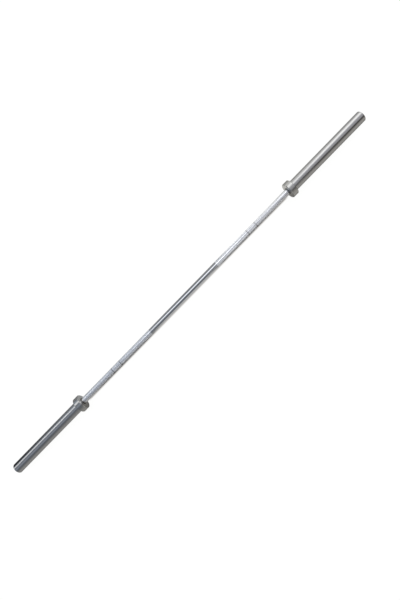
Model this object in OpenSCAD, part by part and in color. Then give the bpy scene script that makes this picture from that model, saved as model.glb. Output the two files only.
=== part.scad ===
// Olympic barbell, men's pattern, 2200 mm long.
// A steel shaft carries a rotating sleeve at each end. Each sleeve is a bored tube with a pressed-on
// collar, and turns on a flanged bronze bushing and two caged needle bearings. A retaining ring on the
// end of the shaft holds the sleeve on, and a cap closes the sleeve's end.
// Millimetres. The bar lies along X, +Z is up, and the origin is the middle of the shaft's axis.
// Both ends are built alike: the left one is the right one turned half round about Z.

/* [Bar] */
// Length of the whole bar, over both sleeve ends
bar_length = 2200; // [1900:10:2400]
// Distance between the inner faces of the two collars
collar_spacing = 1310; // [1200:5:1330]

/* [Shaft] */
// Diameter of the smooth middle of the shaft, where the hands are
grip_d = 29; // [28:0.5:30]
// Diameter of the turned-down journals inside the sleeves
journal_d = 25; // [24.5:0.25:26]
// How far the knurled bands stand above the smooth shaft
knurl_rise = 0.15; // [0.05:0.05:0.3]
// Length of the smooth stretch in the middle
smooth_length = 420; // [100:10:600]
// Distance between the two inner ring marks, middle to middle
inner_marks = 810; // [700:5:830]
// Distance between the two outer ring marks, middle to middle
outer_marks = 910; // [870:5:1000]
// Width of each ring mark
mark_width = 5; // [2:0.5:8]
// Plain shaft left between the end of the knurl and the collar
knurl_margin = 6; // [2:0.5:20]
// Chamfer on the shoulder of the shaft
shoulder_chamfer = 0.5; // [0.2:0.1:0.8]
// Width of the relief groove beside the shoulder
relief_width = 1; // [0.5:0.1:2]
// Depth of the relief groove
relief_depth = 0.2; // [0.1:0.05:0.4]
// Chamfer on each end of the shaft
shaft_chamfer = 1; // [0.5:0.25:1.5]
// How far the shaft runs on past its retaining ring
shaft_tail = 3; // [2:0.5:5]
// Mouth of the lathe centre in each end of the shaft
centre_d = 6.7; // [5:0.1:8]
// Pilot hole of the lathe centre
pilot_d = 3.15; // [2:0.05:4]
// Depth of the lathe centre
centre_depth = 8; // [6:0.5:12]

/* [Sleeve tube] */
// Outer diameter of the sleeve, which the plates slide on
sleeve_d = 50; // [49:0.25:50.5]
// Bore that holds the bearings
sleeve_bore_d = 32; // [31:0.5:33]
// Rounding of the rim at the outer end
rim_round = 3; // [1:0.5:3.5]
// Counterbore at the mouth, for the bushing's flange and the seal
mouth_d = 42; // [40:0.5:43]
// Counterbore at the outer end, where the shaft's ring turns
chamber_d = 40; // [38:0.5:41]
// Depth of that counterbore from the sleeve's end
chamber_depth = 32; // [30:1:45]
// Bore that the end cap sits in
cap_seat_d = 42; // [41.5:0.5:43]
// Depth of that bore from the sleeve's end
cap_seat_depth = 10; // [8:0.5:12]
// Small chamfer on the inner edges of the tube
inner_chamfer = 0.5; // [0.3:0.1:0.8]
// Width of the relief groove that ends the collar's seat
seat_relief_width = 1.5; // [1:0.25:3]
// Depth of that relief groove
seat_relief_depth = 0.3; // [0.2:0.1:0.6]

/* [Collar] */
// Outer diameter of the collar
collar_d = 75; // [65:1:90]
// Width of the collar
collar_width = 30; // [20:1:40]
// Chamfer on both outer edges
collar_chamfer = 2.5; // [0.5:0.25:4]
// Thickness of the inner lip, which the tube butts against and which holds the seal in
lip_thickness = 3; // [2:0.5:5]
// Bore of the lip, round the shaft
lip_bore_d = 34; // [31:0.5:39]
// Chamfer on the mouth of the lip
lip_chamfer = 0.8; // [0.3:0.1:1.5]

/* [Bushing and dust seal] */
// Length of the bushing inside the bore
bushing_length = 24; // [16:1:40]
// Thickness of its flange, which takes the side thrust
flange_thickness = 3; // [2:0.5:5]
// Width of each grease groove inside the bushing
grease_groove_width = 2; // [1:0.5:3]
// Depth of the grease grooves
grease_groove_depth = 0.6; // [0.2:0.1:1]
// Number of grease grooves
grease_grooves = 3; // [1:1:4]
// Thickness of the dust seal
seal_thickness = 4; // [3:0.5:6]
// Width of the lip that rides on the shaft
seal_lip_width = 0.8; // [0.5:0.1:1.5]
// Thickness of the seal's rim
seal_rim = 2.4; // [1.5:0.1:3]

/* [Needle bearings] */
// Width of each drawn-cup bearing
bearing_width = 20; // [16:1:30]
// Wall of the drawn cup
cup_wall = 1; // [0.8:0.1:1.2]
// Thickness of the cup's turned-in lips
cup_lip = 0.8; // [0.5:0.1:1.2]
// Clearance of the cup's lips round the journal
cup_lip_gap = 0.75; // [0.5:0.05:0.9]
// Number of needles in each bearing
needle_count = 18; // [12:1:22]
// Radial wall of the cage
cage_wall = 1.3; // [0.8:0.1:1.3]
// Width of the cage's end rings
cage_end = 1.2; // [0.8:0.1:2]
// Wall of the spacer tube between the two bearings
spacer_wall = 2.2; // [1:0.1:2.4]

/* [Thrust washers] */
// Thickness of the two flat thrust washers
washer_thickness = 2; // [1.5:0.25:3]
// Thickness of the curved spring washer
spring_thickness = 0.8; // [0.5:0.1:1]
// Height of the curved spring washer as fitted
spring_height = 1.6; // [1.3:0.1:2.2]
// Radial width of the curved spring washer
spring_width = 6; // [4:0.5:6.5]

/* [Retaining rings] */
// Thickness of the ring in the sleeve's outer bore
bore_ring_thickness = 1.75; // [1.5:0.05:2]
// Depth of its groove
bore_groove_depth = 1.25; // [0.9:0.05:1.5]
// Radial width of the bore ring opposite its gap
bore_ring_back = 4.1; // [3:0.1:5]
// Radial width of the bore ring beside its lugs
bore_ring_tip = 2.4; // [2:0.1:3]
// Diameter of the lugs of the bore ring
bore_lug_d = 6; // [5:0.25:6.5]
// Thickness of the ring on the shaft
shaft_ring_thickness = 1.2; // [1:0.1:1.75]
// Depth of its groove
shaft_groove_depth = 0.55; // [0.4:0.05:0.8]
// Radial width of the shaft ring opposite its gap
shaft_ring_back = 4; // [3:0.1:4.5]
// Radial width of the shaft ring beside its lugs
shaft_ring_tip = 2.6; // [2:0.1:3]
// Diameter of the lugs of the shaft ring
shaft_lug_d = 5; // [4:0.25:5.5]
// Diameter of the plier holes in the lugs
plier_hole_d = 2.2; // [1.5:0.1:2.5]

/* [End cap] */
// Thickness of the cap's plate at its rim
cap_thickness = 4; // [3:0.5:5]
// Depth of the dish in the cap's outer face
cap_dish = 1.2; // [0.5:0.1:1.8]
// Width of the cap's flat rim
cap_rim = 6; // [5.5:0.5:8]
// Length of the skirt behind the plate
cap_skirt = 4; // [2:0.5:6]
// Wall of the skirt
cap_skirt_wall = 1.8; // [1.2:0.1:3]

/* [Fits] */
// Radial clearance of what turns: bushing on journal and seal on shaft
running_gap = 0.05; // [0.02:0.01:0.1]
// Radial clearance of the needles between the journal and the cup
needle_gap = 0.02; // [0.01:0.005:0.04]
// Clearance of what is pressed or slid into its seat
seat_gap = 0.01; // [0.005:0.005:0.05]
// Clearance between the needles and their pockets
pocket_gap = 0.05; // [0.02:0.01:0.1]
// Clearance of the retaining rings in their grooves
ring_slack = 0.1; // [0.04:0.02:0.2]
// Free end play of the sleeve on the shaft, and of the cages in their cups
end_play = 0.3; // [0.2:0.05:0.5]
// Clearance all round the parts of one body that pass the other
turning_gap = 0.4; // [0.3:0.05:0.8]

/* [Hidden] */
$fn = 96;
eps = 1;

grip_r = grip_d / 2;
journal_r = journal_d / 2;
knurl_r = grip_r + knurl_rise;
sleeve_r = sleeve_d / 2;
bore_r = sleeve_bore_d / 2;
mouth_r = mouth_d / 2;
chamber_r = chamber_d / 2;
cap_seat_r = cap_seat_d / 2;
collar_r = collar_d / 2;
lip_bore_r = lip_bore_d / 2;

// Places along the right end of the bar, from the collar outwards
end_x = bar_length / 2;
collar_x = collar_spacing / 2;
collar_face_x = collar_x + collar_width;
tube_x = collar_x + lip_thickness;
flange_x = tube_x + seal_thickness;
mouth_floor_x = flange_x + flange_thickness;
inner_bearing_x = mouth_floor_x + bushing_length;
spacer_x = inner_bearing_x + bearing_width;
chamber_x = end_x - chamber_depth;
outer_bearing_x = chamber_x - bearing_width;
shoulder_x = flange_x - end_play;
spring_x = chamber_x + washer_thickness + running_gap;
shaft_washer_x = spring_x + spring_height + running_gap;
shaft_ring_x = shaft_washer_x + washer_thickness;
shaft_end_x = shaft_ring_x + shaft_ring_thickness + shaft_tail;
cap_x = end_x - cap_seat_depth;
cap_ring_x = cap_x + cap_thickness;

// The knurled bands of one half: each a pair of places, from the middle outwards
mark_half = mark_width / 2;
knurl_bands = [
    [smooth_length / 2, inner_marks / 2 - mark_half],
    [inner_marks / 2 + mark_half, outer_marks / 2 - mark_half],
    [outer_marks / 2 + mark_half, collar_x - knurl_margin]
];

// The needles fill the space between the journal and the cup's raceway
race_r = bore_r - seat_gap - cup_wall;
needle_pitch_r = (race_r + journal_r) / 2;
needle_r = (race_r - journal_r) / 2 - needle_gap;
cage_length = bearing_width - 2 * cup_lip - 2 * end_play;
needle_length = cage_length - 2 * cage_end;

// Turns a profile of [radius, place along X] points round the bar's axis
module turned(profile) {
    rotate([0, 90, 0]) rotate_extrude() polygon(profile);
}

// Lays a piece drawn flat at the origin square across the bar, from x outwards, its +X side down
module across(x) {
    translate([x, 0, 0]) rotate([0, 90, 0]) children();
}

// The left end is the right end turned half round
module left() {
    rotate([0, 0, 180]) children();
}

// A plain washer or tube round the axis
module ring_between(r_in, r_out, x, length) {
    turned([[r_in, x], [r_out, x], [r_out, x + length], [r_in, x + length]]);
}

// One knurled band, standing proud with sloping ends
function band_points(band) = [
    [grip_r, band[0]],
    [knurl_r, band[0] + knurl_rise],
    [knurl_r, band[1] - knurl_rise],
    [grip_r, band[1]]
];

// Half of the shaft's outline, from the middle to the end: bands, shoulder, journal, ring groove
// and the lathe centre
function shaft_half() = concat(
    [for (band = knurl_bands) each band_points(band)],
    [
        [grip_r, shoulder_x - shoulder_chamfer],
        [grip_r - shoulder_chamfer, shoulder_x],
        [journal_r - relief_depth, shoulder_x],
        [journal_r - relief_depth, shoulder_x + relief_width],
        [journal_r, shoulder_x + relief_width + relief_depth],
        [journal_r, shaft_ring_x],
        [journal_r - shaft_groove_depth, shaft_ring_x],
        [journal_r - shaft_groove_depth, shaft_ring_x + shaft_ring_thickness + ring_slack],
        [journal_r, shaft_ring_x + shaft_ring_thickness + ring_slack],
        [journal_r, shaft_end_x - shaft_chamfer],
        [journal_r - shaft_chamfer, shaft_end_x],
        [centre_d / 2, shaft_end_x],
        [pilot_d / 2, shaft_end_x - (centre_d - pilot_d) / 2 / tan(30)],
        [pilot_d / 2, shaft_end_x - centre_depth],
        [0, shaft_end_x - centre_depth - pilot_d / 2 / tan(59)]
    ]
);

// The one-piece steel shaft: knurled grip, ring marks, and a journal turned down on each end
module shaft() {
    half = shaft_half();
    color("gainsboro") turned(concat(
        [for (i = [len(half) - 1 : -1 : 0]) [half[i][0], -half[i][1]]],
        half
    ));
}

// The sleeve: a thick tube with stepped bores, a ring groove, a rounded outer rim, and a relief
// groove under the collar's outer edge where the pressed seat ends
module sleeve_tube() {
    cap_groove_r = cap_seat_r + bore_groove_depth;
    color("silver") difference() {
        rotate([0, 90, 0]) rotate_extrude() {
            difference() {
                translate([0, tube_x]) square([sleeve_r, end_x - tube_x]);
                translate([sleeve_r - rim_round, end_x - rim_round]) square(rim_round + eps);
            }
            intersection() {
                translate([sleeve_r - rim_round, end_x - rim_round]) circle(rim_round);
                translate([sleeve_r - rim_round, end_x - rim_round]) square(rim_round + eps);
            }
        }
        ring_between(sleeve_r - seat_relief_depth, sleeve_r + eps,
            collar_face_x - seat_relief_width, seat_relief_width);
        turned([
            [0, tube_x - eps],
            [mouth_r + inner_chamfer + eps, tube_x - eps],
            [mouth_r, tube_x + inner_chamfer],
            [mouth_r, mouth_floor_x],
            [bore_r, mouth_floor_x],
            [bore_r, chamber_x],
            [chamber_r, chamber_x],
            [chamber_r, cap_x],
            [cap_seat_r, cap_x],
            [cap_seat_r, cap_ring_x],
            [cap_groove_r, cap_ring_x],
            [cap_groove_r, cap_ring_x + bore_ring_thickness + ring_slack],
            [cap_seat_r, cap_ring_x + bore_ring_thickness + ring_slack],
            [cap_seat_r, end_x - inner_chamfer],
            [cap_seat_r + inner_chamfer + eps, end_x + eps],
            [0, end_x + eps]
        ]);
    }
}

// The collar: a chamfered ring pressed over the sleeve, with an inner lip that the tube butts against
module collar() {
    color("silver") turned([
        [lip_bore_r + lip_chamfer, collar_x],
        [collar_r - collar_chamfer, collar_x],
        [collar_r, collar_x + collar_chamfer],
        [collar_r, collar_face_x - collar_chamfer],
        [collar_r - collar_chamfer, collar_face_x],
        [sleeve_r + seat_gap, collar_face_x],
        [sleeve_r + seat_gap, tube_x],
        [lip_bore_r, tube_x],
        [lip_bore_r, collar_x + lip_chamfer]
    ]);
}

// The rubber dust seal: a stiff rim, a thin web and a lip that rides on the shaft
module dust_seal() {
    lip_r = grip_r + running_gap;
    rim_r = mouth_r - seat_gap;
    web_x = tube_x + seal_lip_width;
    color("saddlebrown") turned([
        [lip_r, tube_x],
        [rim_r, tube_x],
        [rim_r, flange_x],
        [rim_r - seal_rim, flange_x],
        [rim_r - seal_rim, web_x + seal_lip_width],
        [lip_r + seal_lip_width, web_x],
        [lip_r, tube_x + seal_lip_width / 2]
    ]);
}

// The flanged bronze bushing, with grease grooves in its bore
module bushing() {
    in_r = journal_r + running_gap;
    far_x = mouth_floor_x + bushing_length;
    step = (far_x - flange_x) / (grease_grooves + 1);
    color("peru") difference() {
        turned([
            [in_r, flange_x],
            [mouth_r - seat_gap, flange_x],
            [mouth_r - seat_gap, mouth_floor_x],
            [bore_r - seat_gap, mouth_floor_x],
            [bore_r - seat_gap, far_x],
            [in_r, far_x]
        ]);
        for (i = [1 : grease_grooves])
            across(flange_x + i * step - grease_groove_width / 2)
                cylinder(r = in_r + grease_groove_depth, h = grease_groove_width);
    }
}

// The drawn steel cup of a needle bearing, with both ends turned in
module bearing_cup(x) {
    lip_r = journal_r + cup_lip_gap;
    far_x = x + bearing_width;
    color("slategray") turned([
        [lip_r, x],
        [bore_r - seat_gap, x],
        [bore_r - seat_gap, far_x],
        [lip_r, far_x],
        [lip_r, far_x - cup_lip],
        [race_r, far_x - cup_lip],
        [race_r, x + cup_lip],
        [lip_r, x + cup_lip]
    ]);
}

// The cage: a thin sleeve with one long pocket for each needle
module bearing_cage(x) {
    pocket_width = 2 * (needle_r + pocket_gap);
    pocket_length = needle_length + 2 * pocket_gap;
    start_x = x + cup_lip + end_play;
    color("goldenrod") difference() {
        ring_between(needle_pitch_r - cage_wall / 2, needle_pitch_r + cage_wall / 2,
            start_x, cage_length);
        for (i = [0 : needle_count - 1])
            rotate([i * 360 / needle_count, 0, 0])
                translate([start_x + cage_end - pocket_gap, -pocket_width / 2,
                    needle_pitch_r - cage_wall])
                    cube([pocket_length, pocket_width, 2 * cage_wall]);
    }
}

// The needles of one bearing
module bearing_needles(x) {
    start_x = x + cup_lip + end_play + cage_end;
    color("lightsteelblue") for (i = [0 : needle_count - 1])
        rotate([i * 360 / needle_count, 0, 0])
            translate([start_x, 0, needle_pitch_r]) rotate([0, 90, 0])
                cylinder(r = needle_r, h = needle_length);
}

// The tube that keeps the two bearings apart
module spacer_tube() {
    out_r = bore_r - seat_gap;
    color("lightgray") ring_between(out_r - spacer_wall, out_r, spacer_x, outer_bearing_x - spacer_x);
}

// The flat washer that lies against the sleeve's inner step
module sleeve_washer() {
    color("gray") ring_between(journal_r + turning_gap, chamber_r - seat_gap, chamber_x,
        washer_thickness);
}

// The spring washer: a flat ring bent to one gentle curve, which takes up the end play
module spring_washer() {
    out_r = chamber_r - turning_gap;
    sag = spring_height - spring_thickness;
    bend_r = (out_r * out_r + sag * sag) / (2 * sag);
    color("darkslategray") intersection() {
        ring_between(out_r - spring_width, out_r, spring_x - eps, spring_height + 2 * eps);
        translate([spring_x + spring_height - bend_r - spring_thickness, 0, 0])
            rotate([90, 0, 0]) difference() {
                cylinder(r = bend_r + spring_thickness, h = chamber_d, center = true, $fn = 720);
                cylinder(r = bend_r, h = chamber_d + 2 * eps, center = true, $fn = 720);
            }
    }
}

// The flat washer on the journal, behind the shaft's retaining ring
module shaft_washer() {
    color("gray") ring_between(journal_r + seat_gap, chamber_r - turning_gap, shaft_washer_x,
        washer_thickness);
}

// The retaining ring on the shaft: an eccentric band with two drilled lugs that point outwards
module shaft_circlip() {
    in_r = journal_r - shaft_groove_depth + seat_gap;
    out_r = in_r + (shaft_ring_back + shaft_ring_tip) / 2;
    shift = (shaft_ring_back - shaft_ring_tip) / 2;
    lug_r = shaft_lug_d / 2;
    lug_at = in_r + shaft_groove_depth + lug_r;
    gap = shaft_lug_d;
    lug_turn = asin((gap / 2 + lug_r / 2) / lug_at);
    thickness = shaft_ring_thickness;
    color("dimgray") across(shaft_ring_x) difference() {
        union() {
            difference() {
                translate([-shift, 0, 0]) cylinder(r = out_r, h = thickness);
                translate([0, -gap / 2 - lug_r / 2, -eps])
                    cube([out_r + eps, gap + lug_r, thickness + 2 * eps]);
            }
            for (side = [-1, 1])
                rotate([0, 0, side * lug_turn]) translate([lug_at, 0, 0])
                    cylinder(r = lug_r, h = thickness);
        }
        translate([0, 0, -eps]) cylinder(r = in_r, h = thickness + 2 * eps);
        for (side = [-1, 1])
            rotate([0, 0, side * lug_turn]) translate([lug_at, 0, -eps])
                cylinder(d = plier_hole_d, h = thickness + 2 * eps);
    }
}

// The end cap: a dished plate with a short skirt, seated on the step in the sleeve's end
module end_cap() {
    cap_r = cap_seat_r - seat_gap;
    skirt_r = chamber_r - seat_gap;
    color("black") turned([
        [0, cap_x],
        [skirt_r - cap_skirt_wall, cap_x],
        [skirt_r - cap_skirt_wall, cap_x - cap_skirt],
        [skirt_r - inner_chamfer, cap_x - cap_skirt],
        [skirt_r, cap_x - cap_skirt + inner_chamfer],
        [skirt_r, cap_x],
        [cap_r, cap_x],
        [cap_r, cap_ring_x],
        [cap_r - cap_rim, cap_ring_x],
        [cap_r - cap_rim - cap_dish, cap_ring_x - cap_dish],
        [0, cap_ring_x - cap_dish]
    ]);
}

// The retaining ring that keeps the end cap in: an eccentric band, widest opposite its gap, with two
// drilled lugs that point inwards
module cap_circlip() {
    out_r = cap_seat_r + bore_groove_depth - ring_slack / 2;
    in_r = out_r - (bore_ring_back + bore_ring_tip) / 2;
    shift = (bore_ring_back - bore_ring_tip) / 2;
    lug_r = bore_lug_d / 2;
    lug_at = out_r - bore_groove_depth / 2 - lug_r;
    gap = bore_lug_d;
    lug_turn = asin((gap / 2 + lug_r) / lug_at);
    thickness = bore_ring_thickness;
    color("dimgray") across(cap_ring_x) difference() {
        union() {
            difference() {
                cylinder(r = out_r, h = thickness);
                translate([shift, 0, -eps]) cylinder(r = in_r, h = thickness + 2 * eps);
                translate([0, -gap / 2 - lug_r, -eps])
                    cube([out_r + eps, gap + bore_lug_d, thickness + 2 * eps]);
            }
            for (side = [-1, 1])
                rotate([0, 0, side * lug_turn]) translate([lug_at, 0, 0])
                    cylinder(r = lug_r, h = thickness);
        }
        for (side = [-1, 1])
            rotate([0, 0, side * lug_turn]) translate([lug_at, 0, -eps])
                cylinder(d = plier_hole_d, h = thickness + 2 * eps);
    }
}

shaft();

left() sleeve_tube();  // left_sleeve_tube
left() collar();  // left_collar
left() dust_seal();  // left_dust_seal
left() bushing();  // left_bushing
left() bearing_cup(inner_bearing_x);  // left_inner_cup
left() bearing_cage(inner_bearing_x);  // left_inner_cage
left() bearing_needles(inner_bearing_x);  // left_inner_needles
left() spacer_tube();  // left_spacer_tube
left() bearing_cup(outer_bearing_x);  // left_outer_cup
left() bearing_cage(outer_bearing_x);  // left_outer_cage
left() bearing_needles(outer_bearing_x);  // left_outer_needles
left() sleeve_washer();  // left_sleeve_washer
left() spring_washer();  // left_spring_washer
left() shaft_washer();  // left_shaft_washer
left() shaft_circlip();  // left_shaft_circlip
left() end_cap();  // left_end_cap
left() cap_circlip();  // left_cap_circlip

sleeve_tube();  // right_sleeve_tube
collar();  // right_collar
dust_seal();  // right_dust_seal
bushing();  // right_bushing
bearing_cup(inner_bearing_x);  // right_inner_cup
bearing_cage(inner_bearing_x);  // right_inner_cage
bearing_needles(inner_bearing_x);  // right_inner_needles
spacer_tube();  // right_spacer_tube
bearing_cup(outer_bearing_x);  // right_outer_cup
bearing_cage(outer_bearing_x);  // right_outer_cage
bearing_needles(outer_bearing_x);  // right_outer_needles
sleeve_washer();  // right_sleeve_washer
spring_washer();  // right_spring_washer
shaft_washer();  // right_shaft_washer
shaft_circlip();  // right_shaft_circlip
end_cap();  // right_end_cap
cap_circlip();  // right_cap_circlip
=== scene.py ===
import math

import bpy
import numpy as np
from mathutils import Matrix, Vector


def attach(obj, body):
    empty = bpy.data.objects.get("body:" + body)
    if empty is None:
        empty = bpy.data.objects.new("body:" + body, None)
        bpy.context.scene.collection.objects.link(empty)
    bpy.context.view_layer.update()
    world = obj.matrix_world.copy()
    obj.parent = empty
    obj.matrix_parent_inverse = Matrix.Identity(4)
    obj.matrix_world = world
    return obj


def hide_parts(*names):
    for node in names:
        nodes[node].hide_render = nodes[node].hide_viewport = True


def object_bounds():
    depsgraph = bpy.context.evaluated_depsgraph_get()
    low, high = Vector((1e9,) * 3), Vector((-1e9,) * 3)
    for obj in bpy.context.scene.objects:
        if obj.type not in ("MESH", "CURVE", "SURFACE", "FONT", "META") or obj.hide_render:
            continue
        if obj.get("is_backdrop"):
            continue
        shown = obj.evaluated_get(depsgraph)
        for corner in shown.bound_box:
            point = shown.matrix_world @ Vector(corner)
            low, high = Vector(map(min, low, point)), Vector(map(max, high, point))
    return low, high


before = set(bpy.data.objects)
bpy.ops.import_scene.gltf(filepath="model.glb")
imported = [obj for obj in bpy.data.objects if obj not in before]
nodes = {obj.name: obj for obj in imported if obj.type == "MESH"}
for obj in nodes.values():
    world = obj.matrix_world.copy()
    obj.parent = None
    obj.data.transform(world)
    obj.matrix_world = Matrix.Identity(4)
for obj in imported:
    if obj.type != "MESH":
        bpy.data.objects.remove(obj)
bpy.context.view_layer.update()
mm = 0.001
both_ends = (("right", 1), ("left", -1))

# ---------------------------------------------------------------- Shaft
# One bar of hardened alloy steel, ground and hard chromed. A shoulder and a journal are turned on each end
# for the sleeve's bearings, with a groove for the ring that keeps the sleeve on. The two ring marks on each
# side and the middle are left smooth, and the rest of the grip is cut back to carry the knurl.
grip_r = 14.5 * mm
cut_back_r = 14.2 * mm
journal_r = 12.5 * mm
shoulder_x, ring_groove_x, shaft_end_x = 661.7 * mm, 1073.7 * mm, 1077.9 * mm
ring_groove_width, ring_groove_depth = 1.3 * mm, 0.55 * mm
relief_width, relief_depth = 1.0 * mm, 0.2 * mm
centre_r, pilot_r, centre_depth = 3.35 * mm, 1.575 * mm, 8.0 * mm
shoulder_chamfer, end_chamfer = 0.5 * mm, 1.0 * mm
countersink_angle, drill_angle, sharp_angle = (math.radians(a) for a in (30, 59, 40))
knurl_bands = [(210 * mm, 402.5 * mm), (407.5 * mm, 452.5 * mm), (457.5 * mm, 649 * mm)]


def eased(outline, radius, steps=3, hold=0.4 * mm):
    """Breaks each corner of a closed outline of (place, radius) points with a small arc. The arc leaves both
    sides at radius times the tangent of half the turn, and is the rational curve
    ((1-s)^2 A + 2(1-s)s c P + s^2 B) / ((1-s)^2 + 2(1-s)s c + s^2) from A to B round the corner P, where c is
    the cosine of half the turn. One more point stands a little way along each side, to hold the shading flat.
    Also gives 1 for a point on an arc and 0 for the others."""
    p = np.asarray(outline, float)
    back, on = np.roll(p, 1, 0) - p, np.roll(p, -1, 0) - p
    back_length = np.linalg.norm(back, axis=1, keepdims=True)
    on_length = np.linalg.norm(on, axis=1, keepdims=True)
    back, on = back / back_length, on / on_length
    cosine = -(back * on).sum(1, keepdims=True)
    tiny, huge = 1e-12, 1e6
    half = np.sqrt(np.clip((1 - cosine) / (1 + cosine + tiny), 0, huge))
    room, off_axis = np.minimum(back_length, on_length), p[:, 1:] > 0
    most_reach, most_held, same_place = 0.4, 0.45, 0.001 * mm
    reach = np.minimum(radius * half, most_reach * room) * off_axis
    held = np.minimum(reach + hold, most_held * room) * off_axis
    s = np.linspace(0, 1, steps + 1)[None, :, None]
    weight = np.sqrt((1 + cosine) / 2)[:, :, None]
    a, b, p3 = (p + back * reach)[:, None], (p + on * reach)[:, None], p[:, None]
    share = (1 - s) ** 2 + 2 * (1 - s) * s * weight + s**2
    arc = ((1 - s) ** 2 * a + 2 * (1 - s) * s * weight * p3 + s**2 * b) / share
    rows = np.concatenate([(p + back * held)[:, None], arc, (p + on * held)[:, None]], 1)
    edge = np.ones(rows.shape[:2])
    edge[:, [0, -1]] = 0
    points, edge = rows.reshape(-1, 2), edge.ravel()
    apart = np.linalg.norm(points - np.roll(points, -1, 0), axis=1) > same_place
    return points[apart], edge[apart]


def added(name, data):
    """Puts a mesh or a camera in the scene as an object."""
    thing = bpy.data.objects.new(name, data)
    bpy.context.scene.collection.objects.link(thing)
    return thing


def built(name, corners, quads, threes, maps):
    """Builds an object from its corners and its faces of four and of three, with the places of the faces' corners
    on the map in the same order. Corners that no face uses are left out, and the numbers of the others are given
    as well."""
    used, packed = np.unique(np.concatenate([quads.ravel(), threes.ravel()]), return_inverse=True)
    packed_quads, packed_threes = packed[: quads.size].reshape(-1, 4), packed[quads.size :].reshape(-1, 3)
    mesh = bpy.data.meshes.new(name)
    mesh.from_pydata(corners[used].tolist(), [], packed_quads.tolist() + packed_threes.tolist())
    flat_map = np.concatenate([part.reshape(-1, 2) for part in maps])
    mesh.uv_layers.new(name="OFBake").uv.foreach_set("vector", flat_map.ravel().astype(np.float32))
    return added(name, mesh), used


def turned(name, outline, radius, sides=128):
    """Turns a closed outline of (place along the bar, radius) points once round the bar's axis. Point j of side
    i lies at (x_j, r_j sin a, r_j cos a), where a is i / sides of a full turn. Each pair of neighbouring points
    and sides is joined by a face, which is a triangle where one point is on the axis. The map runs along the
    outline one way and round the bar the other."""
    points, edge = eased(outline, radius)
    x, r = points.T
    if (x * np.roll(r, -1) - np.roll(x, -1) * r).sum() > 0:
        points, edge = points[::-1], edge[::-1]
        x, r = points.T
    count = len(points)
    turn = 2 * math.pi * np.arange(sides) / sides
    corners = np.stack(
        [np.broadcast_to(x, (sides, count)), np.outer(np.sin(turn), r), np.outer(np.cos(turn), r)], -1
    ).reshape(-1, 3)
    step = np.linalg.norm(points - np.roll(points, -1, 0), axis=1)
    along = np.concatenate([[0], np.cumsum(step)]) / step.sum()
    i, j = np.meshgrid(np.arange(sides), np.arange(count), indexing="ij")
    after = (j + 1) % count

    def corner(side, point):
        return np.where(r[point] > 0, (side % sides) * count + point, point)

    four = np.stack([corner(i, j), corner(i, after), corner(i + 1, after), corner(i + 1, j)], -1)
    place = np.stack([along[j], along[j + 1], along[j + 1], along[j]], -1)
    round_bar = np.stack([i, i, i + 1, i + 1], -1) / sides
    maps = np.stack([place, round_bar], -1)
    full = (r[j] > 0) & (r[after] > 0)
    opens = (r[j] <= 0) & (r[after] > 0)
    closes = (r[j] > 0) & (r[after] <= 0)
    threes = np.concatenate([four[opens][:, [0, 1, 2]], four[closes][:, [0, 1, 3]]])
    three_maps = np.concatenate([maps[opens][:, [0, 1, 2]], maps[closes][:, [0, 1, 3]]])
    piece, used = built(name, corners, four[full], threes, [maps[full], three_maps])
    mesh = piece.data
    wear = mesh.attributes.new("edge", "FLOAT", "POINT")
    wear.data.foreach_set("value", np.tile(edge, sides)[used].astype(np.float32))
    mesh.polygons.foreach_set("use_smooth", np.ones(len(mesh.polygons), bool))
    mesh.set_sharp_from_angle(angle=sharp_angle)
    mesh.update()
    return piece


def new_group(name, inputs, output):
    """A shader node group with named number inputs, each with its first value, and one number as its output."""
    number = "NodeSocketFloat"
    tree = bpy.data.node_groups.new(name, "ShaderNodeTree")
    for label, value in inputs.items():
        socket = tree.interface.new_socket(label, in_out="INPUT", socket_type=number)
        socket.default_value = value
    tree.interface.new_socket(output, in_out="OUTPUT", socket_type=number)
    return tree, tree.nodes.new("NodeGroupInput"), tree.nodes.new("NodeGroupOutput")


def add(tree, kind, inputs=(), **settings):
    """Adds a node to a tree, with settings on the node. Each input is a fixed value or another node's output."""
    node = tree.nodes.new(kind)
    for key, value in settings.items():
        setattr(node, key, value)
    for key, value in dict(inputs).items():
        if isinstance(value, bpy.types.NodeSocket):
            tree.links.new(value, node.inputs[key])
        else:
            node.inputs[key].default_value = value
    return node


def calc(tree, operation, *terms, **settings):
    """A calculation with numbers."""
    return add(tree, "ShaderNodeMath", enumerate(terms), operation=operation, **settings).outputs[0]


def remap(tree, source, low, high, to_low=0.0, to_high=1.0, kind="LINEAR"):
    """Brings a number from one range to another, and holds it there."""
    limits = {"Value": source, "From Min": low, "From Max": high, "To Min": to_low, "To Max": to_high}
    return add(tree, "ShaderNodeMapRange", limits, interpolation_type=kind).outputs[0]


def blend(tree, kind, share, a, b):
    """Blends the colour b into the colour a."""
    return add(tree, "ShaderNodeMix", {0: share, 6: a, 7: b}, data_type="RGBA", blend_type=kind).outputs[2]


def object_place(tree):
    """The place in the piece's own frame."""
    return add(tree, "ShaderNodeTexCoord").outputs["Object"]


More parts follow.
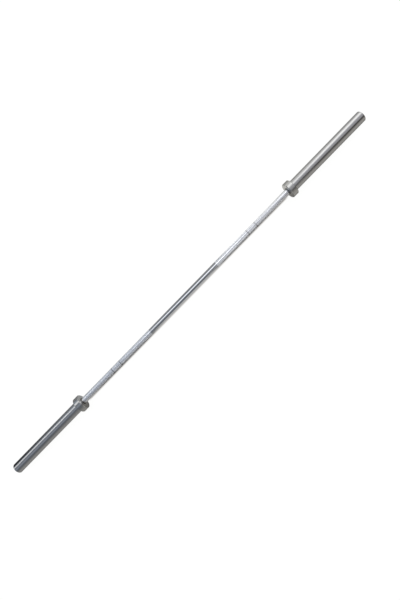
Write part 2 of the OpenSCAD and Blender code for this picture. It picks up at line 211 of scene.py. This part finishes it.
def tool_marks():
    """Fine marks that follow a lathe or a grinding wheel: a noise of (place + distance from the axis), so that
    they run round a cylinder and lie in rings on a face across the bar."""
    tree, given, result = new_group("tool marks", {"Lines per metre": 4000.0, "Unevenness": 0.5}, "Height")
    place = object_place(tree)
    parts = add(tree, "ShaderNodeSeparateXYZ", {0: place})
    flat = add(tree, "ShaderNodeCombineXYZ", {1: parts.outputs[1], 2: parts.outputs[2]})
    radius = add(tree, "ShaderNodeVectorMath", {0: flat.outputs[0]}, operation="LENGTH")
    run = calc(tree, "ADD", parts.outputs[0], radius.outputs["Value"])
    scaled = calc(tree, "MULTIPLY", run, given.outputs[0])
    lines = add(tree, "ShaderNodeTexNoise", {"Scale": 1.0, "Detail": 3.0, "Roughness": 0.6, "W": scaled},
                noise_dimensions="1D")
    patches = add(tree, "ShaderNodeTexNoise", {"Scale": 60.0, "Detail": 2.0, "Vector": place})
    share = calc(tree, "ADD", patches.outputs[0], given.outputs[1])
    tree.links.new(calc(tree, "MULTIPLY", lines.outputs[0], share), result.inputs[0])
    return tree


def hand_smudge():
    """Cloudy marks of handling and wiping, from 0 to 1, from a broad noise."""
    tree, given, result = new_group("hand smudge", {"Size": 0.03}, "Value")
    per_metre = calc(tree, "DIVIDE", 1.0, given.outputs[0])
    clouds = add(tree, "ShaderNodeTexNoise", {
        "Detail": 4.0, "Roughness": 0.6, "Distortion": 0.6, "Vector": object_place(tree), "Scale": per_metre})
    tree.links.new(remap(tree, clouds.outputs[0], 0.35, 0.68), result.inputs[0])
    return tree


def long_scratches():
    """Hairline scratches along the bar: a noise stretched twenty times along X, of which only the crests count."""
    tree, given, result = new_group("long scratches", {"Per metre": 900.0, "Amount": 0.5}, "Mask")
    stretched = add(tree, "ShaderNodeVectorMath", {0: object_place(tree), 1: (0.05, 1.0, 1.0)},
                    operation="MULTIPLY")
    lines = add(tree, "ShaderNodeTexNoise", {
        "Detail": 2.0, "Roughness": 0.7, "Vector": stretched.outputs[0], "Scale": given.outputs[0]})
    crest = remap(tree, lines.outputs[0], 0.6, 0.72)
    tree.links.new(calc(tree, "MULTIPLY", crest, given.outputs[1]), result.inputs[0])
    return tree


def edge_rub():
    """Rubbed patches along edges: the piece's own edge mark, broken up by a noise."""
    tree, given, result = new_group("edge rub", {"Amount": 0.6}, "Mask")
    mark = add(tree, "ShaderNodeAttribute", attribute_name="edge")
    spots = add(tree, "ShaderNodeTexNoise", {"Scale": 140.0, "Detail": 3.0, "Vector": object_place(tree)})
    broken = remap(tree, spots.outputs[0], 0.4, 0.62)
    rubbed = calc(tree, "MULTIPLY", mark.outputs["Fac"], broken)
    tree.links.new(calc(tree, "MULTIPLY", rubbed, given.outputs[0]), result.inputs[0])
    return tree


effects = {"marks": tool_marks(), "smudge": hand_smudge(), "scratches": long_scratches(), "rub": edge_rub()}


def placed(tree, effect, **values):
    """Places a shared effect in a material with its own values, and returns its output."""
    node = tree.nodes.new("ShaderNodeGroup")
    node.node_tree = effects[effect]
    for key, value in values.items():
        node.inputs[key.replace("_", " ")].default_value = value
    return node.outputs[0]


def new_material(name):
    """A new material, with its node tree and its surface shader."""
    material = bpy.data.materials.new(name)
    material.use_nodes = True
    return material, material.node_tree, material.node_tree.nodes["Principled BSDF"]


def metal(name, clean, worn, gloss, dull, lines=4000, mark_depth=0.0004 * mm, smudge=0.04, scratches=0.3, rub=0.5):
    """A metal finish. The colour goes from clean to worn where it is rubbed, and the roughness from gloss to
    dull with smudges and scratches, over tool marks of the given depth and number of lines per metre."""
    material, tree, shader = new_material(name)
    shader.inputs["Metallic"].default_value = 1.0
    cloud = placed(tree, "smudge", Size=smudge)
    hairs = placed(tree, "scratches", Amount=scratches)
    rubbed = placed(tree, "rub", Amount=rub)
    used = calc(tree, "MAXIMUM", hairs, rubbed)
    soiled = calc(tree, "MULTIPLY_ADD", cloud, 0.6, used, use_clamp=True)
    height = placed(tree, "marks", Lines_per_metre=lines)
    bump = add(tree, "ShaderNodeBump", {"Strength": 1.0, "Distance": mark_depth, "Height": height})
    tree.links.new(blend(tree, "MIX", used, (*clean, 1), (*worn, 1)), shader.inputs["Base Color"])
    tree.links.new(remap(tree, soiled, 0.0, 1.0, gloss, dull), shader.inputs["Roughness"])
    tree.links.new(bump.outputs[0], shader.inputs["Normal"])
    return material


def dress(piece, material, slot, body, *stands_for):
    """Gives a piece its material and body, and hides the plain solids that it stands for. The slot is not used."""
    piece.data.materials.append(material)
    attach(piece, body)
    if stands_for:
        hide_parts(*stands_for)
    return piece


def dress_solids(material, *names):
    """Gives solids whose shape is already right their material, at both ends."""
    for side, _ in both_ends:
        for name in names:
            for held in nodes[f"{side}_{name}"].material_slots:
                held.material = material


right_half = []
for start, end in knurl_bands:
    right_half += [(start, grip_r), (start, cut_back_r), (end, cut_back_r), (end, grip_r)]
groove_end_x = ring_groove_x + ring_groove_width
right_half += [
    (shoulder_x - shoulder_chamfer, grip_r),
    (shoulder_x, grip_r - shoulder_chamfer),
    (shoulder_x, journal_r - relief_depth),
    (shoulder_x + relief_width, journal_r - relief_depth),
    (shoulder_x + relief_width + relief_depth, journal_r),
    (ring_groove_x, journal_r),
    (ring_groove_x, journal_r - ring_groove_depth),
    (groove_end_x, journal_r - ring_groove_depth),
    (groove_end_x, journal_r),
    (shaft_end_x - end_chamfer, journal_r),
    (shaft_end_x, journal_r - end_chamfer),
    (shaft_end_x, centre_r),
    (shaft_end_x - (centre_r - pilot_r) / math.tan(countersink_angle), pilot_r),
    (shaft_end_x - centre_depth, pilot_r),
    (shaft_end_x - centre_depth - pilot_r / math.tan(drill_angle), 0),
]
left_half = [(-x, r) for x, r in reversed(right_half)]
polished_chrome = metal("polished chrome", (0.46, 0.465, 0.475), (0.38, 0.38, 0.38), 0.07, 0.16, smudge=0.05)
dress(turned("shaft_bar", left_half + right_half, 0.12 * mm), polished_chrome, "shaft_chrome", "bar", "shaft")

# ---------------------------------------------------------------- Knurl
# The grip's diamond knurl, cut by two wheels of opposite hand and chromed with the shaft: its flat tops shine
# and its grooves are matt. The ring marks part it into six bands, which stop short of the collars and of the
# smooth middle.
knurl_crest_r, knurl_valley_r, knurl_root_r = 14.67 * mm, 14.57 * mm, 14.22 * mm
diamonds_round, knurl_angle, diamond_top = 66, math.radians(30), 0.84
diamonds_map, strip_maps, half_strip_map, cut_map = 0.97, (0.975, 0.985, 0.995), 0.004, 0.01


def knurled(name, start, end):
    """A closed sleeve of flat-topped diamonds between two places along the bar. Nodes stand on a lattice of half
    diamonds: node (i, j) is at an angle of i half diamonds and j half diamonds along. Where i + j is odd it is
    the foot of a groove, and where it is even the middle of a diamond, whose top is the same diamond drawn
    smaller on the crest radius. At both ends the diamonds are cut through their middles. The map has a wide part
    for the diamonds and three narrow strips for the two ends and the inside."""
    half_round = math.pi / diamonds_round
    half_long = knurl_crest_r * half_round / math.tan(knurl_angle)
    rows = 2 * round((end - start) / half_long / 2)
    half_long = (end - start) / rows
    around = 2 * diamonds_round
    i, j = (a.ravel() for a in np.meshgrid(np.arange(around), np.arange(rows + 1), indexing="ij"))
    even = (i + j) % 2 == 0
    ci, cj = i[even], j[even]
    k = diamond_top

    def at(turns, along, radius):
        angle = turns * half_round
        return np.stack([start + along * half_long, radius * np.sin(angle), radius * np.cos(angle)], -1)

    tops_at = [(0, -k), (-k, 0), (0, k), (k, 0)]
    tops = [at(ci + di, cj + dj, knurl_crest_r) for di, dj in tops_at]
    ring = 2 * np.arange(diamonds_round) + 1
    inner = [at(ring, np.full_like(ring, row), knurl_root_r) for row in (0, rows)]
    corners = np.concatenate([at(i, j, knurl_valley_r), *tops, *inner])
    lattice, count = len(i), len(ci)

    def foot(di, dj):
        return ((ci + di) % around) * (rows + 1) + np.clip(cj + dj, 0, rows)

    top = [lattice + n * count + np.arange(count) for n in range(4)]
    back, left, front, right = top
    feet_at = [(0, -1), (-1, 0), (0, 1), (1, 0)]
    feet = [foot(di, dj) for di, dj in feet_at]
    whole, first, last = (cj > 0) & (cj < rows), cj == 0, cj == rows
    faces, maps = [], []

    def face(keep, index, where):
        faces.append(np.stack(index, -1)[keep])
        turns = np.stack([ci + di + 1 for di, dj in where], -1)[keep] / (around + 2)
        along = np.stack([cj + dj for di, dj in where], -1)[keep] / rows
        maps.append(np.stack([diamonds_map * along, turns], -1))

    face(whole, top, tops_at)
    sides = [(whole | last, 0, 1), (whole | first, 1, 2), (whole | first, 2, 3), (whole | last, 3, 0)]
    for keep, a, b in sides:
        face(keep, [feet[a], feet[b], top[b], top[a]], [feet_at[a], feet_at[b], tops_at[b], tops_at[a]])
    cut = [(-1, 0), (-k, cut_map), (k, cut_map), (1, 0)]
    face(first, [feet[1], left, right, feet[3]], cut)
    face(last, [feet[3], right, left, feet[1]], [(a, -b) for a, b in reversed(cut)])
    quads, quad_maps = np.concatenate(faces), np.concatenate(maps)
    faces, maps = [], []
    face(first, [left, front, right], [tops_at[1], tops_at[2], tops_at[3]])
    face(last, [back, left, right], [tops_at[0], tops_at[1], tops_at[3]])
    threes, three_maps = np.concatenate(faces), np.concatenate(maps)
    near, far = (lattice + 4 * count + n * diamonds_round + np.arange(diamonds_round) for n in range(2))
    low, high = ring * (rows + 1), ring * (rows + 1) + rows
    for a, b, place in zip((low, near, far), (near, far, high), strip_maps):
        quads = np.concatenate([quads, np.stack([a, np.roll(a, -1), np.roll(b, -1), b], -1)])
        turns = np.stack([ring, ring + 2, ring + 2, ring], -1) / (around + 2)
        along = np.broadcast_to(place + half_strip_map * np.array([-1, -1, 1, 1]), turns.shape)
        quad_maps = np.concatenate([quad_maps, np.stack([along, turns], -1)])
    piece, _ = built(name, corners, quads, threes, [quad_maps, three_maps])
    is_top = np.zeros(len(quads) + len(threes), np.int32)
    is_top[: whole.sum()] = 1
    is_top[len(quads) :] = 1
    piece.data.polygons.foreach_set("material_index", is_top)
    piece.data.update()
    return piece


# Both knurl finishes are far paler than the smooth chrome: a painted sheen for the light their facets gather
knurl_chrome = metal("knurled chrome", (0.84, 0.85, 0.87), (0.76, 0.76, 0.77), 0.6, 0.7, mark_depth=0.0001 * mm,
                     smudge=0.08, scratches=0.2, rub=0.0)
crest_chrome = metal("knurl crest chrome", (0.8, 0.81, 0.83), (0.7, 0.7, 0.71), 0.12, 0.18, mark_depth=0.0001 * mm,
                     smudge=0.08, scratches=0.3, rub=0.0)
for side, way in both_ends:
    for place, (start, end) in zip(("inner", "marked", "outer"), knurl_bands):
        low, high = sorted((way * start, way * end))
        band = dress(knurled(f"{side}_{place}_knurl", low, high), knurl_chrome, "shaft_chrome", "bar")
        band.data.materials.append(crest_chrome)

# ---------------------------------------------------------------- Sleeve tubes
# A thick steel tube at each end, which the plates slide on: turned outside, bored in steps for the bearings,
# the seal and the end cap, with a rounded outer rim, and chromed.
sleeve_r, bore_r, mouth_r, chamber_r, cap_seat_r = (d / 2 * mm for d in (50, 32, 42, 40, 42))
bore_groove_depth, bore_groove_width, bore_chamfer = 1.25 * mm, 1.85 * mm, 0.5 * mm
tube_x, mouth_floor_x, chamber_x, cap_x, cap_ring_x, end_x = (x * mm for x in (658, 665, 1068, 1090, 1094, 1100))
collar_face_x, seat_relief_width, seat_relief_depth = 685 * mm, 1.5 * mm, 0.3 * mm
rim_round, rim_steps = 3 * mm, 10
lean = np.linspace(0, math.pi / 2, rim_steps + 1)
rim = [(end_x - rim_round + rim_round * math.sin(a), sleeve_r - rim_round + rim_round * math.cos(a)) for a in lean]
tube_outline = [
    (tube_x, mouth_r + bore_chamfer),
    (tube_x, sleeve_r),
    (collar_face_x - seat_relief_width, sleeve_r),
    (collar_face_x - seat_relief_width, sleeve_r - seat_relief_depth),
    (collar_face_x, sleeve_r - seat_relief_depth),
    (collar_face_x, sleeve_r),
    *rim,
    (end_x, cap_seat_r + bore_chamfer),
    (end_x - bore_chamfer, cap_seat_r),
    (cap_ring_x + bore_groove_width, cap_seat_r),
    (cap_ring_x + bore_groove_width, cap_seat_r + bore_groove_depth),
    (cap_ring_x, cap_seat_r + bore_groove_depth),
    (cap_ring_x, cap_seat_r),
    (cap_x, cap_seat_r),
    (cap_x, chamber_r),
    (chamber_x, chamber_r),
    (chamber_x, bore_r),
    (mouth_floor_x, bore_r),
    (mouth_floor_x, mouth_r),
    (tube_x + bore_chamfer, mouth_r),
]
sleeve_chrome = metal("turned chrome", (0.43, 0.43, 0.43), (0.34, 0.34, 0.335), 0.16, 0.27, lines=2500,
                      mark_depth=0.0012 * mm, smudge=0.06, scratches=0.6)
for side, way in both_ends:
    outline = [(way * x, r) for x, r in tube_outline]
    dress(turned(f"{side}_tube", outline, 0.1 * mm), sleeve_chrome, "sleeve_chrome", f"{side}_sleeve",
          f"{side}_sleeve_tube")

# ---------------------------------------------------------------- Collars
# The stop for the plates: a steel ring turned with a wide chamfer on both edges, chromed, and pressed over the
# end of the sleeve tube, which butts against the collar's inner lip.
collar_x, collar_r, collar_chamfer = 655 * mm, 37.5 * mm, 2.5 * mm
lip_bore_r, lip_chamfer, press_gap = 17 * mm, 0.8 * mm, 0.01 * mm
collar_outline = [
    (collar_x, lip_bore_r + lip_chamfer),
    (collar_x, collar_r - collar_chamfer),
    (collar_x + collar_chamfer, collar_r),
    (collar_face_x - collar_chamfer, collar_r),
    (collar_face_x, collar_r - collar_chamfer),
    (collar_face_x, sleeve_r + press_gap),
    (tube_x, sleeve_r + press_gap),
    (tube_x, lip_bore_r),
    (collar_x + lip_chamfer, lip_bore_r),
]
collar_chrome = metal("collar chrome", (0.44, 0.44, 0.43), (0.33, 0.325, 0.32), 0.14, 0.25, lines=3000,
                      mark_depth=0.001 * mm, smudge=0.03, scratches=0.4, rub=0.8)
for side, way in both_ends:
    outline = [(way * x, r) for x, r in collar_outline]
    dress(turned(f"{side}_collar_ring", outline, 0.3 * mm), collar_chrome, "collar_chrome", f"{side}_sleeve",
          f"{side}_collar")

# ---------------------------------------------------------------- Retaining rings and spring washers
# Stamped from spring steel, hardened and phosphated black, then oiled. One ring sits in a groove in the sleeve
# and one on the shaft, and the curved spring washer takes up the end play.
black_steel = metal("phosphated spring steel", (0.035, 0.035, 0.037), (0.16, 0.155, 0.15), 0.42, 0.62, lines=1500,
                    mark_depth=0.002 * mm, smudge=0.004, scratches=0.5, rub=0.0)
dress_solids(black_steel, "cap_circlip", "shaft_circlip", "spring_washer")

# ---------------------------------------------------------------- Dust seals
# A moulded brown rubber ring in the sleeve's mouth, held in by the collar's lip. Its thin lip rides on the
# shaft and keeps chalk out.


def moulded(name, colour, bloom, gloss, dull, grain_size, grain_depth):
    """A moulded rubber or plastic: a dark colour with a faint pale bloom in clouds, over a fine even grain."""
    material, tree, shader = new_material(name)
    cloud = placed(tree, "smudge", Size=0.012)
    grain = add(tree, "ShaderNodeTexNoise", {"Scale": 1 / grain_size, "Detail": 3.0, "Vector": object_place(tree)})
    bump = add(tree, "ShaderNodeBump", {"Strength": 1.0, "Distance": grain_depth, "Height": grain.outputs[0]})
    tree.links.new(blend(tree, "MIX", cloud, (*colour, 1), (*bloom, 1)), shader.inputs["Base Color"])
    tree.links.new(remap(tree, cloud, 0.0, 1.0, gloss, dull), shader.inputs["Roughness"])
    tree.links.new(bump.outputs[0], shader.inputs["Normal"])
    return material


seal_rubber = moulded("seal rubber", (0.3, 0.23, 0.15), (0.42, 0.35, 0.25), 0.45, 0.65, 0.4 * mm, 0.01 * mm)
dress_solids(seal_rubber, "dust_seal")

# ---------------------------------------------------------------- Bushings
# Turned from oil-filled bronze, with a flange that takes the side thrust of the sleeve against the shoulder.
bronze = metal("bushing bronze", (0.55, 0.33, 0.14), (0.36, 0.2, 0.09), 0.26, 0.42, lines=1800,
               mark_depth=0.003 * mm, smudge=0.008, scratches=0.2, rub=0.0)
dress_solids(bronze, "bushing")

# ---------------------------------------------------------------- Needle bearings
# Two in each sleeve. A cup drawn from hardened strip is pressed in the bore, and a cage keeps the ground
# needles parallel while they roll on the journal.
cup_steel = metal("drawn cup steel", (0.46, 0.47, 0.48), (0.3, 0.29, 0.28), 0.2, 0.34, lines=1200,
                  mark_depth=0.001 * mm, smudge=0.01, scratches=0.3, rub=0.0)
cage_steel = metal("cage steel", (0.4, 0.36, 0.27), (0.25, 0.22, 0.17), 0.28, 0.42, lines=900,
                   mark_depth=0.002 * mm, smudge=0.006, scratches=0.3, rub=0.0)
needle_steel = metal("ground needle steel", (0.62, 0.63, 0.65), (0.5, 0.5, 0.52), 0.06, 0.12, lines=9000,
                     mark_depth=0.0003 * mm, smudge=0.01, scratches=0.15, rub=0.0)
dress_solids(cup_steel, "inner_cup", "outer_cup")
dress_solids(cage_steel, "inner_cage", "outer_cage")
dress_solids(needle_steel, "inner_needles", "outer_needles")

# ---------------------------------------------------------------- Spacer tubes and thrust washers
# Plain cold-drawn steel, lightly oiled: the tube keeps the bearings apart, and the washers carry the thrust of
# the shaft's ring.
plain_steel = metal("cold drawn steel", (0.42, 0.41, 0.39), (0.28, 0.26, 0.24), 0.3, 0.45, lines=1200,
                    mark_depth=0.002 * mm, smudge=0.02, scratches=0.5, rub=0.0)
dress_solids(plain_steel, "spacer_tube", "sleeve_washer", "shaft_washer")

# ---------------------------------------------------------------- End caps
# A dished disc moulded in black plastic, with a short skirt behind it. It sits on the step in the sleeve's
# bore and the cap's ring holds it in.
cap_plastic = moulded("cap plastic", (0.014, 0.014, 0.015), (0.03, 0.03, 0.031), 0.32, 0.46, 0.6 * mm, 0.02 * mm)
dress_solids(cap_plastic, "end_cap")

# ---------------------------------------------------------------- Floor, light and camera
# A pale floor under the collars, white to the camera with a painted shadow under the bar, and glowing in the steel
# with painted reflection levels and a painted shadow; and the soft light of a studio: a long bright strip high on
# the far side, a dimmer ceiling, a dark gap on the near side and a low lamp beside each grip.
floor_z, half_floor = -collar_r, 30.0
floor_mesh = bpy.data.meshes.new("floor")
floor_corners = ((-half_floor, -half_floor), (half_floor, -half_floor), (half_floor, half_floor),
                 (-half_floor, half_floor))
floor_mesh.from_pydata([(x, y, floor_z) for x, y in floor_corners], [], [(0, 1, 2, 3)])
floor = added("floor", floor_mesh)
pale = bpy.data.materials.new("pale floor")
pale.use_nodes = True
tree = pale.node_tree
tree.nodes.clear()


def ramp(tree, source, stops):
    """A colour ramp over a value, from (position, grey or colour) stops."""
    node = add(tree, "ShaderNodeValToRGB", {0: source})
    for n, (at, value) in enumerate(stops):
        stop = node.color_ramp.elements[n] if n < 2 else node.color_ramp.elements.new(at)
        stop.position = at
        stop.color = (*(value if isinstance(value, tuple) else (value,) * 3), 1)
    return node.outputs[0]


# What the camera sees is white, with a painted soft shadow under the bar: a little to the near side under the
# shaft, and wider under the sleeves. The painted shadow is left out where the shaft meets the collars, and fades
# out just short of the ends
shadow_core, shaft_shadow, sleeve_shadow, shaft_aside = 8 * mm, 14 * mm, 24 * mm, 8 * mm
beside_collar, shadow_reach = collar_x - 4 * mm, 1200 * mm
parts = add(tree, "ShaderNodeSeparateXYZ", {0: object_place(tree)})
floor_x, floor_y = parts.outputs[0], parts.outputs[1]
from_middle = calc(tree, "ABSOLUTE", floor_x)
aside = remap(tree, from_middle, beside_collar, collar_x, shaft_aside, 0)
faded = remap(tree, from_middle, beside_collar, collar_x, shaft_shadow, sleeve_shadow)
beside = calc(tree, "ABSOLUTE", calc(tree, "ADD", floor_y, aside))
clear = remap(tree, beside, shadow_core, faded, kind="SMOOTHSTEP")
outward = calc(tree, "DIVIDE", from_middle, shadow_reach)
bare = ramp(tree, outward, [(0.525, 0.0), (0.542, 1.0), (0.547, 1.0), (0.558, 0.0), (0.883, 0.0), (0.915, 1.0)])
# The ramp below runs from the painted shadow's warm grey to the floor's white
white = ramp(tree, calc(tree, "MAXIMUM", clear, bare), [(0.0, (0.5, 0.48, 0.455)), (1.0, (0.95, 0.95, 0.945))])
lit = add(tree, "ShaderNodeBsdfDiffuse", {"Color": (0.12, 0.12, 0.12, 1)})
glow = add(tree, "ShaderNodeEmission", {0: white})
seen = add(tree, "ShaderNodeAddShader", {0: lit.outputs[0], 1: glow.outputs[0]})

# What the steel mirrors is not the lit floor but a glow of painted reflection levels, greyer: one for each side of
# the bar, by metres to the right of its middle
floor_reach = 2.0


def along_floor(stops):
    """A colour ramp with its stops in metres to the right of the bar's middle."""
    share = remap(tree, floor_x, -floor_reach, floor_reach)
    return ramp(tree, share, [(0.5 + x / (2 * floor_reach), value) for x, value in stops])


far_side = along_floor([
    (-1.2, 0.02), (-1.04, (0.2, 0.205, 0.22)), (-0.8, (0.45, 0.46, 0.48)), (-0.62, (0.6, 0.605, 0.61)),
    (-0.54, (0.75, 0.755, 0.76)), (-0.28, (0.75, 0.755, 0.76)), (-0.16, 0.55), (0.24, 0.6), (0.34, 1.5),
    (0.56, (1.2, 1.19, 1.16)), (0.64, (0.85, 0.84, 0.81)), (1.2, 0.75)])
# On the far side, a band of the mirrored floor close beside the bar is painted darker: a painted shade
far_painted_shade = ramp(tree, floor_y, [(0.04, 1.0), (0.08, 0.55), (0.14, 0.6), (0.26, 1.0)])
far_shaded = blend(tree, "MULTIPLY", 1.0, far_side, far_painted_shade)
near_side = along_floor([
    (-1.2, (0.46, 0.45, 0.435)), (-0.62, (0.5, 0.49, 0.475)), (-0.52, 0.25), (-0.26, 0.3), (-0.2, 0.9), (0.2, 0.9),
    (0.26, 0.4), (0.52, 0.4), (0.62, (0.66, 0.64, 0.61)), (1.2, (0.58, 0.56, 0.53))])
# Beside the bar, on the near side, the mirrored floor is painted with the bar's shadow: a painted shadow, deepest
# beside the grips
deepest = along_floor([
    (-0.72, 0.85), (-0.66, 0.5), (-0.62, 0.5), (-0.56, 0.05), (-0.24, 0.05), (-0.2, 0.8), (0.2, 0.8), (0.24, 0.05),
    (0.56, 0.05), (0.62, 0.42), (0.66, 0.42), (0.72, 0.5)])
shadow_near, shadow_far, seam = -0.05, -0.17, 0.03
shade = remap(tree, floor_y, shadow_near, shadow_far, deepest, kind="SMOOTHSTEP")
near_shaded = blend(tree, "MULTIPLY", 1.0, near_side, shade)
grey = blend(tree, "MIX", remap(tree, floor_y, -seam, seam, kind="SMOOTHSTEP"), near_shaded, far_shaded)
mirrored = add(tree, "ShaderNodeEmission", {0: grey})
path = add(tree, "ShaderNodeLightPath")
both = add(tree, "ShaderNodeMixShader",
           {0: path.outputs["Is Camera Ray"], 1: mirrored.outputs[0], 2: seen.outputs[0]})
add(tree, "ShaderNodeOutputMaterial", {0: both.outputs[0]})
pale.cycles.emission_sampling = "NONE"
floor_mesh.materials.append(pale)
floor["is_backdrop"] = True

# The room. Round the bar, it goes from the near side (0) over the top (0.5) to the far side (1). Along the bar, the
# left sleeve mirrors it from 0.03 to 0.16, the grips from 0.16 to 0.34 and 0.52 to 0.72 with their ring marks near
# 0.245 and 0.625, and the right sleeve from 0.72 to 0.89
world = bpy.data.worlds.new("studio")
bpy.context.scene.world = world
world.use_nodes = True
tree = world.node_tree
tree.nodes.clear()
room_half, backdrop_white = 0.6, 1.05
toward = add(tree, "ShaderNodeTexCoord")
parts = add(tree, "ShaderNodeSeparateXYZ", {0: toward.outputs["Generated"]})
lean_over = calc(tree, "ARCTAN2", parts.outputs[1], parts.outputs[2])
over = remap(tree, lean_over, -math.pi / 2, math.pi / 2)
from_left = remap(tree, parts.outputs[0], -room_half, room_half)
left_room = ramp(tree, over, [
    (0.0, (0.58, 0.57, 0.56)), (0.1, (0.46, 0.46, 0.455)), (0.24, (0.26, 0.265, 0.27)),
    (0.34, (0.19, 0.21, 0.24)), (0.42, (0.22, 0.245, 0.295)), (0.475, (0.41, 0.45, 0.52)),
    (0.52, (0.5, 0.55, 0.645)), (0.57, (0.355, 0.39, 0.46)), (0.65, (0.29, 0.32, 0.375)),
    (0.88, (0.34, 0.375, 0.43)), (1.0, (0.28, 0.31, 0.355))])
right_room = ramp(tree, over, [
    (0.0, (0.65, 0.63, 0.6)), (0.1, (0.61, 0.59, 0.56)), (0.185, (0.38, 0.365, 0.34)),
    (0.285, (0.075, 0.07, 0.065)), (0.325, (0.075, 0.07, 0.07)), (0.385, (0.28, 0.275, 0.285)),
    (0.45, (0.66, 0.65, 0.69)), (0.55, (0.62, 0.62, 0.67)), (0.64, (0.7, 0.7, 0.73)), (0.8, (0.85, 0.855, 0.86)),
    (0.9, (1.1, 1.09, 1.07)), (1.0, (1.05, 1.04, 1.02))])
sides = blend(tree, "MIX", remap(tree, from_left, 0.45, 0.75), left_room, right_room)
# The far end of the room is brightest over the left grip and darkens to the left. The near end is bright over the
# smooth middle and dark over the grips
far_end = ramp(tree, from_left, [
    (0.0, 0.3), (0.05, 0.6), (0.09, 1.1), (0.155, 1.6), (0.175, 2.1), (0.31, 2.0), (0.35, 1.3), (0.45, 1.0),
    (0.52, 1.0), (0.54, 1.3), (0.7, 1.3), (0.72, 1.0), (0.9, 1.0), (0.98, 0.5)])
near_end = ramp(tree, from_left, [
    (0.16, 1.0), (0.2, 0.2), (0.31, 0.25), (0.36, 1.8), (0.48, 1.9), (0.54, 0.5), (0.69, 0.4), (0.72, 1.0)])
far_room = blend(tree, "MULTIPLY", remap(tree, over, 0.76, 0.9, kind="SMOOTHSTEP"), sides, far_end)
room = blend(tree, "MULTIPLY", remap(tree, over, 0.24, 0.1, kind="SMOOTHSTEP"), far_room, near_end)
# The strip leans to the far side by twice half_angle, in radians: further towards the ends of the bar. It widens to
# the right, and it is dimmed over the grips
strip_core, strip_power = 0.06, 2.0
half_angle = ramp(tree, from_left, [
    (0.0, 0.52), (0.1, 0.44), (0.16, 0.41), (0.2, 0.35), (0.5, 0.225), (0.72, 0.33), (0.82, 0.42), (0.95, 0.5)])
off_strip = calc(tree, "ABSOLUTE", calc(tree, "MULTIPLY_ADD", half_angle, -2.0, lean_over))
strip_width = ramp(tree, from_left, [(0.0, 0.22), (0.2, 0.3), (0.5, 0.42), (0.75, 0.5), (0.95, 0.6)])
strip = remap(tree, off_strip, strip_width, strip_core, 0.0, strip_power, kind="SMOOTHSTEP")
strip_level = ramp(tree, from_left, [
    (0.0, 0.66), (0.08, 0.78), (0.16, 0.9), (0.18, 0.33), (0.225, 0.33), (0.235, 0.1), (0.255, 0.1), (0.27, 0.38),
    (0.32, 0.45), (0.345, 1.0), (0.48, 1.0), (0.515, 1.15), (0.54, 0.8), (0.6, 0.75), (0.615, 0.15), (0.638, 0.15),
    (0.65, 0.28), (0.7, 0.28), (0.72, 0.68), (0.9, 0.66), (0.98, 0.3)])
# Two low lamps on the near side, one beside each grip
low_lamp = ramp(tree, over, [(0.14, 0.0), (0.2, 1.0), (0.37, 1.0), (0.44, 0.0)])
low_level = ramp(tree, from_left, [
    (0.16, 0.0), (0.18, 0.03), (0.225, 0.03), (0.235, 0.48), (0.255, 0.55), (0.27, 0.25), (0.32, 0.25), (0.34, 0.0),
    (0.52, 0.0), (0.535, 0.85), (0.6, 0.8), (0.615, 0.46), (0.638, 0.46), (0.65, 0.55), (0.68, 0.55), (0.704, 0.0)])
lights = calc(tree, "ADD", calc(tree, "MULTIPLY", strip, strip_level), calc(tree, "MULTIPLY", low_lamp, low_level))
total = blend(tree, "ADD", 1.0, room, lights)
# Nothing shines from below the floor, and the camera itself sees a white backdrop
lit_room = blend(tree, "MULTIPLY", 1.0, total, remap(tree, parts.outputs[2], -0.02, 0.0))
path = add(tree, "ShaderNodeLightPath")
backdrop = blend(tree, "MIX", path.outputs["Is Camera Ray"], lit_room, (*(backdrop_white,) * 3, 1))
studio = add(tree, "ShaderNodeBackground", {0: backdrop})
add(tree, "ShaderNodeOutputWorld", {0: studio.outputs[0]})

# The camera looks down at the bar from 1.8 m, a little to the right of its middle, and is turned so that the
# bar runs up to the right.
camera_at, looks_at = (0.1518, 0.0, 1.811), (0.0464, -0.0576, 0.0)
bar_slope = math.radians(45.63)
focal_px, frame_px = 407.0, 600
camera_data = bpy.data.cameras.new("camera")
camera_data.sensor_width = 36.0
camera_data.lens = focal_px / frame_px * camera_data.sensor_width
camera = added("camera", camera_data)
back = np.subtract(camera_at, looks_at)
back /= np.linalg.norm(back)
along_bar = np.array([1.0, 0, 0]) - back[0] * back
along_bar /= np.linalg.norm(along_bar)
past_bar = np.cross(back, along_bar)
right = math.cos(bar_slope) * along_bar - math.sin(bar_slope) * past_bar
up = math.sin(bar_slope) * along_bar + math.cos(bar_slope) * past_bar
pose = np.eye(4)
pose[:3, 0], pose[:3, 1], pose[:3, 2], pose[:3, 3] = right, up, back, camera_at
camera.matrix_world = Matrix(pose.tolist())
bpy.context.scene.camera = camera
bpy.context.scene.view_settings.view_transform = "Standard"

low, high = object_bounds()
